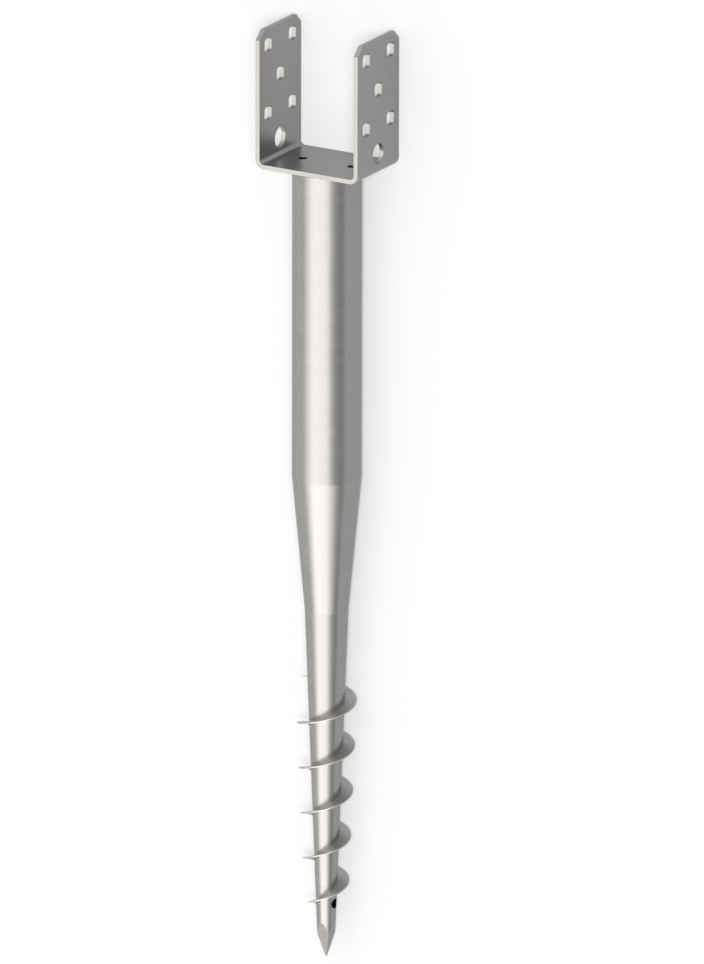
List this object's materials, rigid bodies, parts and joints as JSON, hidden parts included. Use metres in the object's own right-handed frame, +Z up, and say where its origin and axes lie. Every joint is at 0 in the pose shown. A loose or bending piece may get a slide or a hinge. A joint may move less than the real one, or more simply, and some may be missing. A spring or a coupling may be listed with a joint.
{
  "type": "ground screw",
  "caption": "Galvanised ground screw: a folded fork for a square timber post, welded on a tapered tube with a helical flight and a forged point.",
  "frame": {"origin": "on the floor, under the middle of the part's box, with the screw lying on its back as it comes to rest", "axes": "+X across the fork, through both arms; +Y from the point to the fork; +Z up, out of the fork's open front. The screw's axis dips about 1 degree towards the point, because the fork is deeper than the tube."},
  "size_m": [0.101, 0.833, 0.072],
  "materials": {
    "galvanised_plate": "hot-dip galvanised, satin",
    "galvanised_tube": "hot-dip galvanised, satin",
    "galvanised_flight": "hot-dip galvanised, satin",
    "galvanised_weld": "hot-dip galvanised over a weld bead, satin"
  },
  "bodies": {
    "root": {"fork_bracket": "galvanised_plate", "tapered_tube": "galvanised_tube", "screw_flight": "galvanised_flight", "head_weld": "galvanised_weld"}
  },
  "joints": []
}
